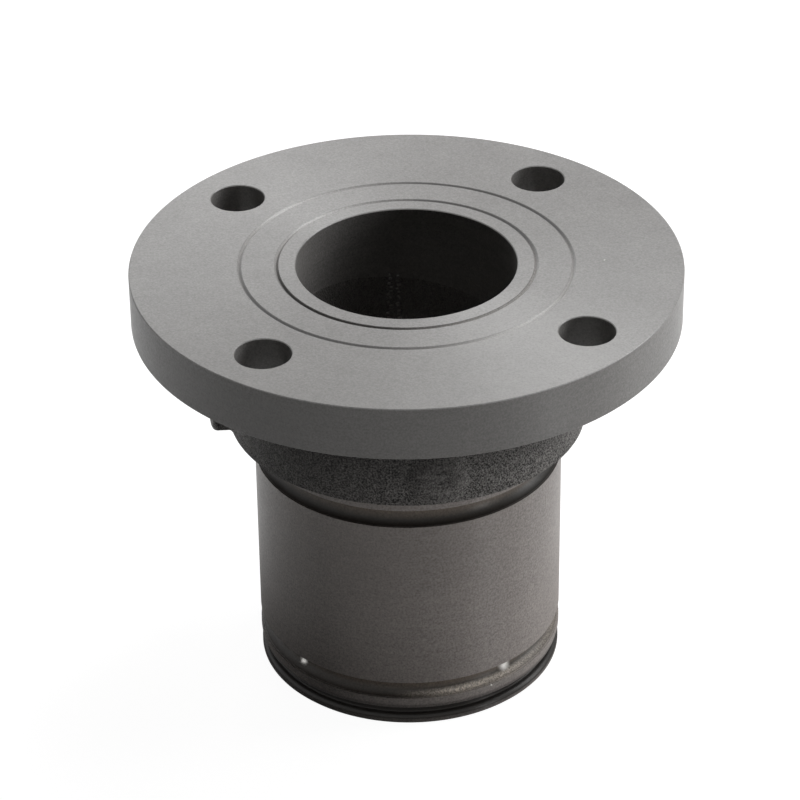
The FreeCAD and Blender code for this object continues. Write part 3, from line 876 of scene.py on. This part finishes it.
class FLANGE_OT_body(bpy.types.Operator):
    """Make the cast and turned flange in place of its plain solid"""

    bl_idname = "flange.body"
    bl_label = "Flange body"

    def execute(self, context):
        sizes, cast = context.scene.flange_sizes, context.scene.flange_casting
        colours = context.scene.flange_colours
        start, bosses = body_section(sizes), boss_meshes(sizes, cast)
        facing, core, hole = facing_section(sizes), core_section(), hole_section(sizes)
        tree = flange_tree()
        finishes = {}
        for finish, (name, high, low, gloss) in TURNED_FINISHES.items():
            finishes[finish] = turned_finish(name, getattr(colours, high), getattr(colours, low), colours, gloss)
        body = grown("dressed_flange", start, tree, {
            "Bosses": bosses,
            "Facing section": facing,
            "Core section": core,
            "Hole section": hole,
            "Segments": sizes.segments,
            "Bolt circle": sizes.bolt_circle,
            "Bolt holes": sizes.bolt_count,
            "Casting shift": sizes.cast_shift,
            **finishes,
            "Cast finish": cast_finish(colours),
        })
        discard(start, bosses, facing, core, hole)
        if len(body.data.polygons) < 1000:
            raise RuntimeError("the flange came out empty")
        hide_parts("flange_body")
        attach(body, "root")
        return {"FINISHED"}


class FLANGE_OT_seam(bpy.types.Operator):
    """Make the two rows of small bumps that the core left on the cored wall"""

    bl_idname = "flange.seam"
    bl_label = "Core seam"

    def execute(self, context):
        cast = context.scene.flange_casting
        start = wire("seam_start", [(0, 0), (1, 0)])
        seam = grown("core_seam", start, seam_tree(), {
            "Bumps": cast.seam_bumps,
            "Bump size": cast.seam_size,
            "Top": 0.1305,
            "Bottom": 0.095,
            "Seed": 11,
            "Finish": bpy.data.materials["turned_anodised_aluminium"],
        })
        discard(start)
        if not seam.data.polygons:
            raise RuntimeError("the core seam came out empty")
        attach(seam, "root")
        return {"FINISHED"}


def shown(tree, path):
    """1 for the camera, in reflections and through glass, and 0 where a surface only lights others."""
    mirrored = add(tree, "ShaderNodeMath", (path["Is Glossy Ray"], path["Is Transmission Ray"]),
                   operation="MAXIMUM")
    return add(tree, "ShaderNodeMath", (path["Is Camera Ray"], mirrored), operation="MAXIMUM")


# On the floor, in metres: where its painted shadow in reflections and its painted shade on the light it gives back
# start and end, and the middle of the second, a little off the axis.
FLOOR_DIMMING, FLOOR_BOUNCE, BOUNCE_MIDDLE = (0.08, 0.13), (0.10, 0.36), (-0.05, 0.02, 0)


def pale(name, level, camera_level):
    """White for the camera and for reflections, with a weaker light and the object's shadow under it. Close
    round the foot a painted shadow dims it in reflections and lets it give back little light. Both fades were fitted
    to the lower spigot in the photo."""
    material = bpy.data.materials.new(name)
    material.use_nodes = True
    tree = material.node_tree
    tree.nodes.remove(tree.nodes["Principled BSDF"])
    where = add(tree, "ShaderNodeTexCoord").outputs["Object"]
    path = add(tree, "ShaderNodeLightPath").outputs

    out = add(tree, "ShaderNodeVectorMath", (where,), operation="LENGTH").outputs["Value"]
    shade = fades(tree, (out, *FLOOR_DIMMING, 0.92, 0.0))
    lost = add(tree, "ShaderNodeMath", (path["Is Glossy Ray"], shade), operation="MULTIPLY")
    kept = add(tree, "ShaderNodeMath", (1.0, lost), operation="SUBTRACT")
    strength = add(tree, "ShaderNodeMath", (kept, camera_level), operation="MULTIPLY")
    glow = add(tree, "ShaderNodeEmission", {"Strength": strength})
    faint = add(tree, "ShaderNodeBsdfDiffuse", {"Color": (level, level, level, 1)})
    white = add(tree, "ShaderNodeAddShader", (faint, glow))

    aside = add(tree, "ShaderNodeVectorMath", (where, BOUNCE_MIDDLE), operation="DISTANCE").outputs["Value"]
    matt = add(tree, "ShaderNodeBsdfDiffuse", {"Color": fades(tree, (aside, *FLOOR_BOUNCE, 0.03, 0.62))})
    mixed = add(tree, "ShaderNodeMixShader", (shown(tree, path), matt, white))
    tree.links.new(mixed.outputs[0], tree.nodes["Material Output"].inputs["Surface"])
    return material


def area_light(name, place, size, power):
    """A soft square light that faces the flange."""
    data = bpy.data.lights.new(name, "AREA")
    data.shape = "SQUARE"
    data.size = size
    data.energy = power
    light = in_scene(name, data)
    light.location = place
    light.rotation_euler = (Vector((0, 0, 0.1)) - Vector(place)).to_track_quat("-Z", "Y").to_euler()


# Each lamp's setting, with its place and its width in metres.
LAMPS = {
    "top": ((0.7, 0.6, 1.5), 0.7),
    "back": ((0.0, 1.7, 0.6), 1.0),
    "right": ((1.2, 0.3, 1.2), 0.9),
    "overhead": ((0.4, 0.45, 1.6), 0.7),
    "right_low": ((1.5, 0.0, 0.35), 0.6),
    "front_low": ((1.0, -0.9, 0.08), 0.12),
}

# The camera: its place in metres, the directions to the right and up in its view, and its lens in millimetres.
CAMERA_PLACE = (-0.11381, -0.99009, 0.72242)
CAMERA_RIGHT, CAMERA_UP = (0.99300, -0.11771, -0.01009), (0.07075, 0.52412, 0.84870)
CAMERA_LENS = 150.149


def white_world(scene, ambient):
    """White for the camera and for reflections, and an even light of its own level on the object."""
    world = bpy.data.worlds.new("studio")
    world.use_nodes = True
    scene.world = world
    tree = world.node_tree
    path = add(tree, "ShaderNodeLightPath").outputs
    strength = fades(tree, (shown(tree, path), 0, 1, ambient, 1.0))
    sky = tree.nodes["Background"]
    sky.inputs["Color"].default_value = (1, 1, 1, 1)
    tree.links.new(strength.outputs[0], sky.inputs["Strength"])


def photo_camera(scene):
    """The camera at the photo's viewing angle."""
    data = bpy.data.cameras.new("camera")
    data.lens = CAMERA_LENS
    camera = in_scene("camera", data)
    right, up = Vector(CAMERA_RIGHT), Vector(CAMERA_UP)
    back = right.cross(up)
    up = back.cross(right)
    turned = Matrix((right, up, back)).transposed().normalized().to_4x4()
    camera.matrix_world = Matrix.Translation(CAMERA_PLACE) @ turned
    scene.camera = camera


class FLANGE_OT_stage(bpy.types.Operator):
    """Make the pale floor, the soft lights and the camera"""

    bl_idname = "flange.stage"
    bl_label = "Stage"

    def execute(self, context):
        scene, stage = context.scene, context.scene.flange_stage
        bpy.ops.mesh.primitive_circle_add(vertices=96, radius=6.0, fill_type="NGON")
        floor = context.object
        floor.name = "floor"
        floor.data.materials.append(pale("pale_floor", 0.25, 0.96))
        for name, (place, size) in LAMPS.items():
            area_light(name + "_light", place, size, getattr(stage, name))
        white_world(scene, stage.ambient)
        photo_camera(scene)
        scene.view_settings.view_transform = "Standard"
        return {"FINISHED"}


class FLANGE_PT_panel(bpy.types.Panel):
    """Sizes, finishes and steps of the flange"""

    bl_idname = "FLANGE_PT_panel"
    bl_label = "Flat face flange"
    bl_space_type = "VIEW_3D"
    bl_region_type = "UI"
    bl_category = "Flange"

    def draw(self, context):
        scene = context.scene
        for group in (scene.flange_sizes, scene.flange_casting, scene.flange_colours, scene.flange_stage):
            box = self.layout.box()
            for name in group.bl_rna.properties.keys():
                if name not in ("rna_type", "name"):
                    box.prop(group, name)
        for step in STEPS:
            self.layout.operator(step.bl_idname)


GROUPS = {
    "flange_sizes": FlangeSizes,
    "flange_casting": CastingSizes,
    "flange_colours": FinishColours,
    "flange_stage": StageSettings,
}
STEPS = (FLANGE_OT_stage, FLANGE_OT_body, FLANGE_OT_seam)


def register():
    for group in GROUPS.values():
        bpy.utils.register_class(group)
    for made in (*STEPS, FLANGE_PT_panel):
        bpy.utils.register_class(made)
    for name, group in GROUPS.items():
        setattr(bpy.types.Scene, name, bpy.props.PointerProperty(type=group))


def unregister():
    for name in GROUPS:
        delattr(bpy.types.Scene, name)
    for made in (FLANGE_PT_panel, *reversed(STEPS), *reversed(GROUPS.values())):
        bpy.utils.unregister_class(made)


def main():
    register()
    bpy.ops.flange.stage()
    bpy.ops.flange.body()
    bpy.ops.flange.seam()


if __name__ == "__main__":
    main()
